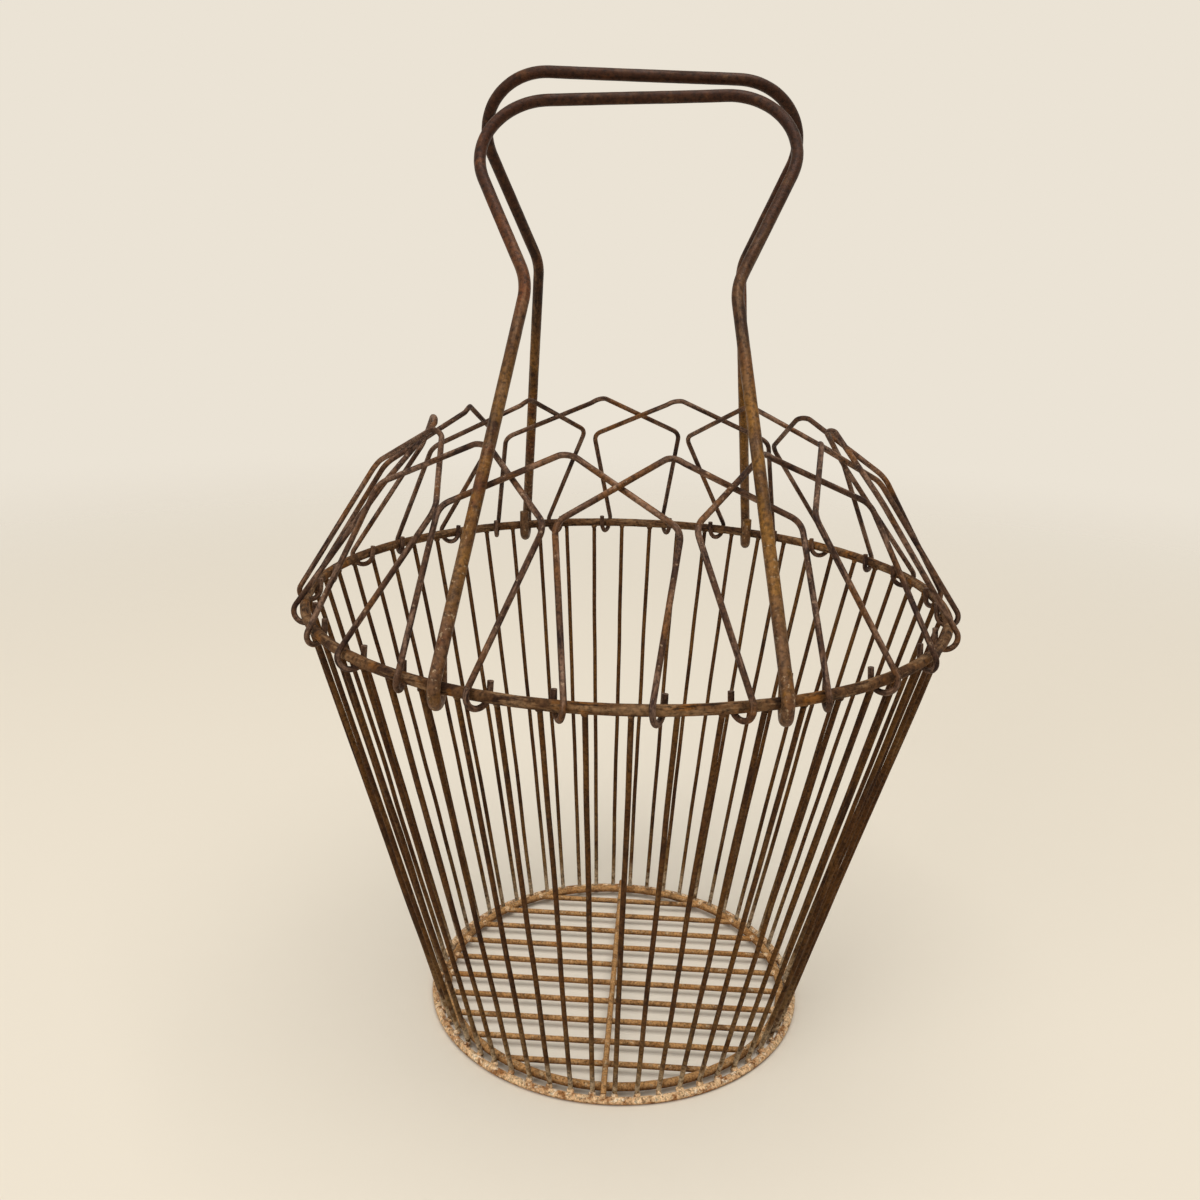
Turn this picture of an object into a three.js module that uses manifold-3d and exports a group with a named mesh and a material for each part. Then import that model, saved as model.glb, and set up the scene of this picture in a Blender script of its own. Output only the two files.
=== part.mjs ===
// Folding wire egg basket: a flared basket of upright wires, a lid of interlaced wire petals that hinge
// on the rim, and two bail handles that hook on the same rim and gather the petals when brought together.
// Millimetres, +Z up. The basket stands on z = 0 with its axis on Z.
// Angles round the basket start at the front, -Y, and grow towards +X.

import * as THREE from "three";
import { mergeVertices } from "three/addons/utils/BufferGeometryUtils.js";
import Module from "manifold-3d";

// Wire diameters
const RIM_WIRE = 4.0;
const BASE_WIRE = 3.2;
const FLOOR_RING_WIRE = 3.5;
const FLOOR_WIRE = 2.5;
const CROSS_WIRE = 2.4;
const UPRIGHT_WIRE = 2.0;
const PETAL_WIRE = 2.2;
const HANDLE_WIRE = 4.5;

// Basket body, measured to the axis of each ring's wire
const RIM_RADIUS = 130.0;
const BASE_RADIUS = 81.5;
const RIM_RISE = 186.5;
const FLOOR_WIRE_SPACING = 14.0;
const FLOOR_EDGE_ROOM = 10.0;
const FLOOR_LIFT = 1.9;

// Lid petals: a house-shaped loop, measured along the petal from the rim's axis to the bare corners.
// Each hook stands this share of the petals' pitch from the petal's middle.
const PETAL_COUNT = 14;
const UPRIGHTS_PER_PETAL = 4;
const PETAL_HOOK_SHARE = 0.75;
const PETAL_SHOULDER_HALF_WIDTH = 42.2;
const PETAL_SHOULDER_HEIGHT = 59.5;
const PETAL_GABLE = 24.0;
const PETAL_BEND_RADIUS = 7.0;
const PETAL_TAIL = 4.5;
const PETAL_TAIL_SPLAY = 2.0;
const PETAL_LEAD = THREE.MathUtils.degToRad(1.15);

// Bail handles, measured along the handle from the rim's axis to the bare corners
const HANDLE_LENGTH = 226.7;
const HANDLE_NECK_HEIGHT = 147.0;
const FRONT_NECK_HALF_WIDTH = 37.0;
const REAR_NECK_HALF_WIDTH = 43.0;
const HANDLE_TOP_HALF_WIDTH = 71.3;
const HANDLE_NECK_RADIUS = 25.0;
const HANDLE_GRIP_RADIUS = 25.0;
const HANDLE_TAIL = 8.0;
const FRONT_GRIP_SETBACK = 4.0;
const FRONT_GRIP_SKEW = 7.5;
const REAR_GRIP_SKEW = 3.5;
const GRIP_GAP = 5.4;

// Hooks go on past the half turn, so that they close over the rim.
const HOOK_CLOSING = THREE.MathUtils.degToRad(30.0);

// Clearances
const SEAT_GAP = 0.3;
const PETAL_HOOK_GAP = 0.8;
const HANDLE_HOOK_GAP = 0.2;
const LAP_GAP = 0.5;

// Facets
const RING_SIDES = 8;
const HANDLE_SIDES = 8;
const WIRE_SIDES = 6;
const HOOK_STEPS = 7;
const BEND_STEPS = 4;
const GRIP_STEPS = 6;

// Places that follow from the sizes above
const TURN = 2 * Math.PI;
const PETAL_PITCH = TURN / PETAL_COUNT;
const UPRIGHT_COUNT = PETAL_COUNT * UPRIGHTS_PER_PETAL;
const UPRIGHT_PITCH = TURN / UPRIGHT_COUNT;
const RIM_UPRIGHT_STEP = 2;
const PETAL_HOOK_ANGLE = PETAL_HOOK_SHARE * PETAL_PITCH;
const HANDLE_HOOK_ANGLE = PETAL_PITCH;
const RING_FLAT = Math.cos(Math.PI / RING_SIDES);
const BASE_HEIGHT = (BASE_WIRE / 2) * RING_FLAT;
const RIM_HEIGHT = BASE_HEIGHT + RIM_RISE;
const WALL_STRETCH = Math.hypot(1, (RIM_RADIUS - BASE_RADIUS) / RIM_RISE);
const FOOT_RADIUS = BASE_RADIUS - ((BASE_WIRE + UPRIGHT_WIRE) / 2 + SEAT_GAP) * WALL_STRETCH;
const PETAL_LAP = (PETAL_WIRE + LAP_GAP) / (2 * Math.cos(PETAL_PITCH / 2));

const wasm = await Module();
wasm.setup();

const handleSteel = new THREE.MeshStandardMaterial({ color: 0x4b3527, roughness: 0.62, metalness: 0.55 });
const petalSteel = new THREE.MeshStandardMaterial({ color: 0x57382a, roughness: 0.74, metalness: 0.45 });
const rimSteel = new THREE.MeshStandardMaterial({ color: 0x54412f, roughness: 0.82, metalness: 0.4 });
const uprightSteel = new THREE.MeshStandardMaterial({ color: 0x5b442f, roughness: 0.8, metalness: 0.4 });
const baseSteel = new THREE.MeshStandardMaterial({ color: 0x8a6f57, roughness: 0.9, metalness: 0.25 });

// A bent wire's centre line: straight runs between stations, which lie close together round each bend.
class WirePath extends THREE.Curve {
  constructor(stations) {
    super();
    this.stations = stations;
  }

  getPoint(t, target = new THREE.Vector3()) {
    const place = t * (this.stations.length - 1);
    const index = Math.min(Math.floor(place), this.stations.length - 2);
    return target.lerpVectors(this.stations[index], this.stations[index + 1], place - index);
  }

  getPointAt(t, target) {
    return this.getPoint(t, target);
  }

  // The tangent at a station halves the bend there, so that each section lies on the mitre.
  getTangentAt(t, target = new THREE.Vector3()) {
    const last = this.stations.length - 1;
    const index = Math.round(t * last);
    const here = this.stations[index];
    const arriving = here.clone().sub(this.stations[Math.max(index - 1, 0)]).normalize();
    const leaving = this.stations[Math.min(index + 1, last)].clone().sub(here).normalize();
    return target.copy(arriving).add(leaving).normalize();
  }
}

function polygonPoints(radius, sides) {
  const points = [];
  for (let side = 0; side < sides; side += 1) {
    const angle = TURN * (side + 0.5) / sides - Math.PI / 2;
    points.push(new THREE.Vector2(radius * Math.cos(angle), radius * Math.sin(angle)));
  }
  return points;
}

function bentWire(stations, wire, sides) {
  const section = new THREE.Shape(polygonPoints(wire / 2, sides));
  const options = { steps: stations.length - 1, bevelEnabled: false, extrudePath: new WirePath(stations) };
  return new THREE.ExtrudeGeometry(section, options);
}

function straightWire(start, end, wire) {
  return bentWire([start, end], wire, WIRE_SIDES);
}

// A hoop whose corners stand at the uprights and whose section has a flat below.
function hoop(radius, height, wire) {
  const centre = new THREE.Vector2(radius, height);
  const profile = polygonPoints(wire / 2, RING_SIDES).map((point) => point.add(centre));
  profile.push(profile[0].clone());
  return new THREE.LatheGeometry(profile, UPRIGHT_COUNT, UPRIGHT_PITCH / 2, TURN).rotateX(Math.PI / 2);
}

function solidFrom(geometry) {
  geometry.deleteAttribute("normal");
  geometry.deleteAttribute("uv");
  const merged = mergeVertices(geometry, 1e-3);
  const vertProperties = new Float32Array(merged.attributes.position.array);
  const triVerts = new Uint32Array(merged.index.array);
  return new wasm.Manifold(new wasm.Mesh({ numProp: 3, vertProperties, triVerts }));
}

// Wires welded into one piece
function welded(geometries) {
  const solids = geometries.map(solidFrom);
  const mesh = solids.reduce((joined, solid) => joined.add(solid)).getMesh();
  const geometry = new THREE.BufferGeometry();
  geometry.setAttribute("position", new THREE.BufferAttribute(new Float32Array(mesh.vertProperties), 3));
  geometry.setIndex(new THREE.BufferAttribute(new Uint32Array(mesh.triVerts), 1));
  return geometry;
}

function namedMesh(name, geometry, material) {
  const mesh = new THREE.Mesh(geometry, material);
  mesh.name = name;
  return mesh;
}

// A point at an angle round the basket
function around(angle, radius, height) {
  return new THREE.Vector3(radius * Math.sin(angle), -radius * Math.cos(angle), height);
}

// Rounds one corner of a flat outline with an arc.
function roundedCorner(before, corner, after, radius, steps) {
  const toBefore = before.clone().sub(corner).normalize();
  const toAfter = after.clone().sub(corner).normalize();
  const halfAngle = Math.acos(toBefore.dot(toAfter)) / 2;
  const start = corner.clone().addScaledVector(toBefore, radius / Math.tan(halfAngle));
  const middle = toBefore.clone().add(toAfter).normalize();
  const centre = corner.clone().addScaledVector(middle, radius / Math.sin(halfAngle));
  const sweep = Math.sign(toAfter.cross(toBefore)) * (Math.PI - 2 * halfAngle);
  const points = [];
  for (let step = 0; step <= steps; step += 1) {
    points.push(start.clone().rotateAround(centre, sweep * step / steps));
  }
  return points;
}

// The radius that lets a hook turn on the rim, which runs through it aslant by the hook's angle
// round the basket.
function hookRadius(wire, hookAngle, gap) {
  const rimHalfWidth = RIM_WIRE / 2 / Math.cos(hookAngle);
  return rimHalfWidth + (wire / 2) * Math.tan(hookAngle) + wire / 2 + gap;
}

// A hook at one foot of a loop: from the tail inside the rim, under the rim, to the foot of the leg
// outside it.
// In a loop's own frame X runs along the hinge, Z up the loop, and -Y points out of the basket.
function hookStations(footX, radius, tail, splay) {
  const splayed = footX + Math.sign(footX) * splay;
  const stations = [];
  for (let step = 0; step <= HOOK_STEPS; step += 1) {
    const share = step / HOOK_STEPS;
    const x = THREE.MathUtils.lerp(splayed, footX, share);
    const turn = THREE.MathUtils.lerp(-HOOK_CLOSING, Math.PI, share);
    stations.push(new THREE.Vector3(x, radius * Math.cos(turn), -radius * Math.sin(turn)));
  }
  const tailRun = new THREE.Vector3(0, -tail * Math.sin(HOOK_CLOSING), tail * Math.cos(HOOK_CLOSING));
  return [stations[0].clone().add(tailRun), ...stations];
}

function loopStations(outline, footX, radius, tail, splay, lapAt) {
  const loop = outline.map((point) => new THREE.Vector3(point.x, -radius - lapAt(point), point.y));
  const left = hookStations(-footX, radius, tail, splay);
  const right = hookStations(footX, radius, tail, splay).reverse();
  return [...left, ...loop, ...right];
}

// The gable-ended loop of one petal. Seen from outside, its left half lies over its neighbour and its
// right half under.
function petalGeometry() {
  const footX = RIM_RADIUS * Math.sin(PETAL_HOOK_ANGLE);
  const radius = hookRadius(PETAL_WIRE, PETAL_HOOK_ANGLE, PETAL_HOOK_GAP);
  const leftFoot = new THREE.Vector2(-footX, 0);
  const leftShoulder = new THREE.Vector2(-PETAL_SHOULDER_HALF_WIDTH, PETAL_SHOULDER_HEIGHT);
  const peak = new THREE.Vector2(0, PETAL_SHOULDER_HEIGHT + PETAL_GABLE);
  const rightShoulder = new THREE.Vector2(PETAL_SHOULDER_HALF_WIDTH, PETAL_SHOULDER_HEIGHT);
  const rightFoot = new THREE.Vector2(footX, 0);
  const peakBend = roundedCorner(leftShoulder, peak, rightShoulder, PETAL_BEND_RADIUS, BEND_STEPS);
  const outline = [
    ...roundedCorner(leftFoot, leftShoulder, peak, PETAL_BEND_RADIUS, BEND_STEPS),
    ...peakBend,
    ...roundedCorner(peak, rightShoulder, rightFoot, PETAL_BEND_RADIUS, BEND_STEPS),
  ];
  const changeover = Math.abs(peakBend[0].x);
  const lapAt = (point) => -PETAL_LAP * THREE.MathUtils.clamp(point.x / changeover, -1, 1);
  const stations = loopStations(outline, footX, radius, PETAL_TAIL, PETAL_TAIL_SPLAY, lapAt);
  return bentWire(stations, PETAL_WIRE, WIRE_SIDES);
}

// The bail: legs that draw in to a neck and flare again to a straight grip with round corners.
// The skew is how much higher the right end of the grip stands than the left, seen from outside.
function handleGeometry(neckHalfWidth, skew) {
  const footX = RIM_RADIUS * Math.sin(HANDLE_HOOK_ANGLE);
  const radius = hookRadius(HANDLE_WIRE, HANDLE_HOOK_ANGLE, HANDLE_HOOK_GAP);
  const leftFoot = new THREE.Vector2(-footX, 0);
  const leftNeck = new THREE.Vector2(-neckHalfWidth, HANDLE_NECK_HEIGHT);
  const leftTop = new THREE.Vector2(-HANDLE_TOP_HALF_WIDTH, HANDLE_LENGTH - skew / 2);
  const rightTop = new THREE.Vector2(HANDLE_TOP_HALF_WIDTH, HANDLE_LENGTH + skew / 2);
  const rightNeck = new THREE.Vector2(neckHalfWidth, HANDLE_NECK_HEIGHT);
  const rightFoot = new THREE.Vector2(footX, 0);
  const outline = [
    ...roundedCorner(leftFoot, leftNeck, leftTop, HANDLE_NECK_RADIUS, BEND_STEPS),
    ...roundedCorner(leftNeck, leftTop, rightTop, HANDLE_GRIP_RADIUS, GRIP_STEPS),
    ...roundedCorner(leftTop, rightTop, rightNeck, HANDLE_GRIP_RADIUS, GRIP_STEPS),
    ...roundedCorner(rightTop, rightNeck, rightFoot, HANDLE_NECK_RADIUS, BEND_STEPS),
  ];
  const stations = loopStations(outline, footX, radius, HANDLE_TAIL, 0, () => 0);
  return bentWire(stations, HANDLE_WIRE, HANDLE_SIDES);
}

// The front handle leans in until its grip stands over the middle of the basket, set back a little.
function frontHandleLean() {
  const hingeRadius = RIM_RADIUS * Math.cos(HANDLE_HOOK_ANGLE);
  const radius = hookRadius(HANDLE_WIRE, HANDLE_HOOK_ANGLE, HANDLE_HOOK_GAP);
  const reach = Math.hypot(HANDLE_LENGTH, radius);
  return Math.asin((hingeRadius + FRONT_GRIP_SETBACK) / reach) + Math.atan2(radius, HANDLE_LENGTH);
}

// The rear handle leans in until it clears the front grip by the grip gap.
function rearHandleLean() {
  const hingeRadius = RIM_RADIUS * Math.cos(HANDLE_HOOK_ANGLE);
  const radius = hookRadius(HANDLE_WIRE, HANDLE_HOOK_ANGLE, HANDLE_HOOK_GAP);
  const frontLean = frontHandleLean();
  const gripHeight = HANDLE_LENGTH * Math.cos(frontLean) + radius * Math.sin(frontLean);
  const across = hingeRadius - FRONT_GRIP_SETBACK;
  const spare = HANDLE_WIRE + GRIP_GAP - radius;
  return Math.acos(spare / Math.hypot(across, gripHeight)) - Math.atan2(gripHeight, across);
}

// A loop hung on the rim: its group stands at the hinge, turned to face outwards, and the loop leans
// in inside it.
function hung(mesh, angle, hookAngle, lean) {
  const hinge = new THREE.Group();
  hinge.position.copy(around(angle, RIM_RADIUS * Math.cos(hookAngle), RIM_HEIGHT));
  hinge.rotation.z = angle;
  mesh.rotation.x = -lean;
  hinge.add(mesh);
  return hinge;
}

// An upright stands inside the base ring and ends under the rim. The tilt of its cut end is added to
// the gap there.
function uprightGeometry(angle, madeWithRim) {
  const foot = around(angle, FOOT_RADIUS, BASE_HEIGHT);
  const rimPoint = around(angle, RIM_RADIUS, RIM_HEIGHT);
  const axis = rimPoint.clone().sub(foot).normalize();
  const cutTilt = (UPRIGHT_WIRE / 2) * (RIM_RADIUS - FOOT_RADIUS) / RIM_RISE;
  const topOffset = madeWithRim ? 0 : RIM_WIRE / 2 + SEAT_GAP + cutTilt;
  const top = rimPoint.addScaledVector(axis, -topOffset);
  return straightWire(foot, top, UPRIGHT_WIRE);
}

// One floor wire, which ends against the inside of the floor ring.
function floorWireGeometry(y, height, ringRadius) {
  const ringInside = (ringRadius - FLOOR_RING_WIRE / 2) * Math.cos(UPRIGHT_PITCH / 2) - SEAT_GAP;
  const halfLength = Math.sqrt(ringInside ** 2 - (Math.abs(y) + FLOOR_WIRE / 2) ** 2);
  const left = new THREE.Vector3(-halfLength, y, height);
  const right = new THREE.Vector3(halfLength, y, height);
  return straightWire(left, right, FLOOR_WIRE);
}

function numbered(name, index) {
  return `${name}_${String(index + 1).padStart(2, "0")}`;
}

const basket = new THREE.Group();
const rimWires = [hoop(RIM_RADIUS, RIM_HEIGHT, RIM_WIRE)];
for (let index = 0; index < UPRIGHT_COUNT; index += 1) {
  const angle = (index + 0.5) * UPRIGHT_PITCH;
  const madeWithRim = index % RIM_UPRIGHT_STEP === 0;
  const upright = uprightGeometry(angle, madeWithRim);
  if (madeWithRim) {
    rimWires.push(upright);
  } else {
    basket.add(namedMesh(numbered("upright", index), upright, uprightSteel));
  }
}
basket.add(namedMesh("rim_ring", welded(rimWires), rimSteel));

// The bottom: the floor ring lies inside the feet of the uprights, a little higher than the base ring, and
// holds the floor wires.
const floorRingHeight = FLOOR_LIFT + FLOOR_RING_WIRE / 2;
const floorWireHeight = floorRingHeight + (FLOOR_RING_WIRE - FLOOR_WIRE) / 2;
const floorRise = (floorRingHeight - BASE_HEIGHT) / RIM_RISE;
const wallRadius = THREE.MathUtils.lerp(FOOT_RADIUS, RIM_RADIUS, floorRise);
const floorRadius = wallRadius - ((FLOOR_RING_WIRE + UPRIGHT_WIRE) / 2 + SEAT_GAP) * WALL_STRETCH;
basket.add(namedMesh("base_ring", hoop(BASE_RADIUS, BASE_HEIGHT, BASE_WIRE), baseSteel));
basket.add(namedMesh("floor_ring", hoop(floorRadius, floorRingHeight, FLOOR_RING_WIRE), baseSteel));

// The cross wire lies over the floor ring and the floor wires, and its front end comes down on the base ring.
const crossSeat = BASE_HEIGHT + (BASE_WIRE + CROSS_WIRE) / 2 + SEAT_GAP;
const crossHeight = floorRingHeight + (FLOOR_RING_WIRE + CROSS_WIRE) / 2 + SEAT_GAP;
const crossReach = floorRadius + FLOOR_RING_WIRE / 2;
const crossStations = [
  around(0, BASE_RADIUS, crossSeat),
  around(0, crossReach, crossHeight),
  around(Math.PI, crossReach, crossHeight),
];
basket.add(namedMesh("cross_wire", bentWire(crossStations, CROSS_WIRE, WIRE_SIDES), baseSteel));

// As many floor wires as fit with room at the front and back, in pairs about the middle.
const floorWirePairs = Math.floor((floorRadius - FLOOR_EDGE_ROOM) / FLOOR_WIRE_SPACING + 0.5);
const floorWireCount = 2 * floorWirePairs;
for (let index = 0; index < floorWireCount; index += 1) {
  const y = (index - (floorWireCount - 1) / 2) * FLOOR_WIRE_SPACING;
  const floorWire = floorWireGeometry(y, floorWireHeight, floorRadius);
  basket.add(namedMesh(numbered("floor_wire", index), floorWire, baseSteel));
}

const frontLean = frontHandleLean();
const petalLean = frontLean + PETAL_LEAD;
for (let index = 0; index < PETAL_COUNT; index += 1) {
  const petal = namedMesh(numbered("petal", index), petalGeometry(), petalSteel);
  basket.add(hung(petal, (index + 0.5) * PETAL_PITCH, PETAL_HOOK_ANGLE, petalLean));
}
const frontBail = handleGeometry(FRONT_NECK_HALF_WIDTH, FRONT_GRIP_SKEW);
const rearBail = handleGeometry(REAR_NECK_HALF_WIDTH, REAR_GRIP_SKEW);
const frontHandle = namedMesh("front_handle", frontBail, handleSteel);
const rearHandle = namedMesh("rear_handle", rearBail, handleSteel);
basket.add(hung(frontHandle, 0, HANDLE_HOOK_ANGLE, frontLean));
basket.add(hung(rearHandle, Math.PI, HANDLE_HOOK_ANGLE, rearHandleLean()));

export default basket;
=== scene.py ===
"""Folding wire egg basket, dressed as old rusted steel wire.

Round wires are laid along the same centre lines as the solids: rim, uprights, bottom rings, floor
wires, cross wire, lid petals and bail handles, with the welds where wires meet. The object's sizes
are in millimetres and become metres on their way into Blender. The stage's are in metres.
"""

import math

import bpy
from mathutils import Matrix, Vector


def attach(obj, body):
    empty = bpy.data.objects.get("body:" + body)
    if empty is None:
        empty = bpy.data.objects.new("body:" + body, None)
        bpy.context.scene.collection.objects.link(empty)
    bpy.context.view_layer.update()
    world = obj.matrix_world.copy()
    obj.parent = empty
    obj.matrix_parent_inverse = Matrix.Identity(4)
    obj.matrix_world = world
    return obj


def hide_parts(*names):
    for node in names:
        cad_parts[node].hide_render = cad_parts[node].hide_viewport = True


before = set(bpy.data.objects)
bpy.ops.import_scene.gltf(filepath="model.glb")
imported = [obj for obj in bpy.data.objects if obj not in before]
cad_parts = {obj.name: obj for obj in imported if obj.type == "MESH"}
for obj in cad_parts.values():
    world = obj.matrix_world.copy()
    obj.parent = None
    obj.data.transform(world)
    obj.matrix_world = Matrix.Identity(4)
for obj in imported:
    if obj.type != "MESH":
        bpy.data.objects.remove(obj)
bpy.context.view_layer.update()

MM = 0.001

# Wire diameters
RIM_WIRE = 4.0
BASE_WIRE = 3.2
FLOOR_RING_WIRE = 3.5
FLOOR_WIRE = 2.5
CROSS_WIRE = 2.4
UPRIGHT_WIRE = 2.0
PETAL_WIRE = 2.2
HANDLE_WIRE = 4.5

# Basket body, to the axis of each ring's wire
RIM_RADIUS = 130.0
RIM_RISE = 186.5
BASE_RADIUS = 81.5
# The solid base ring has eight sides and lies on a flat one, so its axis is lower than half a wire.
BASE_HEIGHT = 1.478
RIM_HEIGHT = BASE_HEIGHT + RIM_RISE
UPRIGHT_COUNT = 56
UPRIGHT_NODES = [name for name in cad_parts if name.startswith("upright_")]
UPRIGHT_TOP_BITE = 0.5
SEAT_GAP = 0.3
WALL_STRETCH = math.hypot(1.0, (RIM_RADIUS - BASE_RADIUS) / RIM_RISE)
FOOT_RADIUS = BASE_RADIUS - ((BASE_WIRE + UPRIGHT_WIRE) / 2 + SEAT_GAP) * WALL_STRETCH
WALL_SLOPE = (RIM_RADIUS - FOOT_RADIUS) / RIM_RISE
WALL_LEAN = math.atan(WALL_SLOPE)

# Floor, inside the feet of the uprights
FLOOR_LIFT = 1.9
FLOOR_RING_HEIGHT = FLOOR_LIFT + FLOOR_RING_WIRE / 2
FLOOR_INSET = ((FLOOR_RING_WIRE + UPRIGHT_WIRE) / 2 + SEAT_GAP) * WALL_STRETCH
FLOOR_RADIUS = FOOT_RADIUS + (FLOOR_RING_HEIGHT - BASE_HEIGHT) * WALL_SLOPE - FLOOR_INSET
FLOOR_WIRE_NODES = [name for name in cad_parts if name.startswith("floor_wire_")]
FLOOR_WIRE_COUNT = len(FLOOR_WIRE_NODES)
FLOOR_WIRE_SPACING = 14.0
FLOOR_WIRE_HEIGHT = FLOOR_RING_HEIGHT + (FLOOR_RING_WIRE - FLOOR_WIRE) / 2
CROSS_SEAT = BASE_HEIGHT + (BASE_WIRE + CROSS_WIRE) / 2 + SEAT_GAP
CROSS_HEIGHT = FLOOR_RING_HEIGHT + (FLOOR_RING_WIRE + CROSS_WIRE) / 2 + SEAT_GAP
CROSS_REACH = FLOOR_RADIUS + FLOOR_RING_WIRE / 2

# Welds, from the axes of the wires they join
RIM_WELD_INSET = 0.5
RIM_WELD_DROP = 1.9
FOOT_WELD_OUTSET = 1.1
FOOT_WELD_RISE = 0.9
ROW_WELD_INSET = 1.6
ROW_WELD_RISE = 0.4
CROSSING_WELD_RISE = 1.3
CROSS_END_WELD_INSET = 0.4
CROSS_END_WELD_RISE = 1.7

# Lid petals, measured up the loop from the rim's axis
PETAL_COUNT = 14
PETAL_PITCH = math.tau / PETAL_COUNT
PETAL_HOOK_SHARE = 0.75
PETAL_HOOK_ANGLE = PETAL_HOOK_SHARE * PETAL_PITCH
PETAL_HOOK_GAP = 0.8
PETAL_SHOULDER_HALF_WIDTH = 42.2
PETAL_SHOULDER_HEIGHT = 59.5
PETAL_GABLE = 24.0
PETAL_BEND_RADIUS = 7.0
PETAL_BEND_STEPS = 12
PETAL_TAIL = 4.5
PETAL_TAIL_SPLAY = 2.0
PETAL_LEAD = math.radians(1.15)
PETAL_LAP_GAP = 0.5
PETAL_LAP = (PETAL_WIRE + PETAL_LAP_GAP) / (2 * math.cos(PETAL_PITCH / 2))

# Bail handles, measured the same way
HANDLE_HOOK_ANGLE = PETAL_PITCH
HANDLE_HOOK_GAP = 0.2
HANDLE_LENGTH = 226.7
HANDLE_NECK_HEIGHT = 147.0
FRONT_NECK_HALF_WIDTH = 37.0
REAR_NECK_HALF_WIDTH = 43.0
HANDLE_TOP_HALF_WIDTH = 71.3
HANDLE_NECK_RADIUS = 25.0
HANDLE_NECK_STEPS = 16
HANDLE_GRIP_RADIUS = 25.0
HANDLE_GRIP_STEPS = 24
HANDLE_TAIL = 8.0
FRONT_GRIP_SETBACK = 4.0
FRONT_GRIP_SKEW = 7.5
REAR_GRIP_SKEW = 3.5
GRIP_GAP = 5.4

# Hooks of petals and handles
HOOK_CLOSING = math.radians(30.0)
HOOK_STEPS = 18

# The photograph's camera, in the basket's frame, with angles in radians
IMAGE_SIDE = 1200
FOCAL_PIXELS = 1174.9
SENSOR = 36.0
CAMERA_DISTANCE = 470.9
CAMERA_HEIGHT = 326.3
CAMERA_PITCH = 0.2927
CAMERA_YAW = -0.0225
CAMERA_ROLL = 0.0243
CAMERA_AZIMUTH = math.radians(1.9)
CAMERA_CLIP_START = 10.0


def linear(code):
    """An sRGB hex value as the linear colour that a socket takes."""
    parts = [int(code[i:i + 2], 16) / 255 for i in (1, 3, 5)]
    return (*[p / 12.92 if p <= 0.04045 else ((p + 0.055) / 1.055) ** 2.4 for p in parts], 1.0)


def add(tree, kind, feeds=None, **settings):
    """One node with its settings. feeds gives inputs, by name or number, a socket or a value."""
    node = tree.nodes.new(kind)
    for key, value in settings.items():
        setattr(node, key, value)
    for key, feed in (feeds or {}).items():
        if isinstance(feed, bpy.types.NodeSocket):
            tree.links.new(feed, node.inputs[key])
        else:
            node.inputs[key].default_value = feed
    return node


# Rust patterns that all finishes share. A stretch under 1 draws a pattern out along the wire, and the
# shift, in metres, keeps one layer's patches from lying on another's.
STREAK_STRETCH = 0.16
LAYER_SHIFT = (0.31, 0.17, 0.0)
PATCH_NOISE = {"Detail": 4.0, "Roughness": 0.62}
PIT_NOISE = {"Detail": 5.0, "Roughness": 0.65}
PIT_SHADE = {"From Min": 0.32, "From Max": 0.58, "To Min": 0.26, "To Max": 1.04}
FLAKE_SIZE = 1.3
FLAKE_NOISE = {"Detail": 4.0, "Roughness": 0.6}
FLAKE_GLOSS = {"From Min": 0.3, "From Max": 0.7}
BUMP_STRENGTH = 0.9


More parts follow.
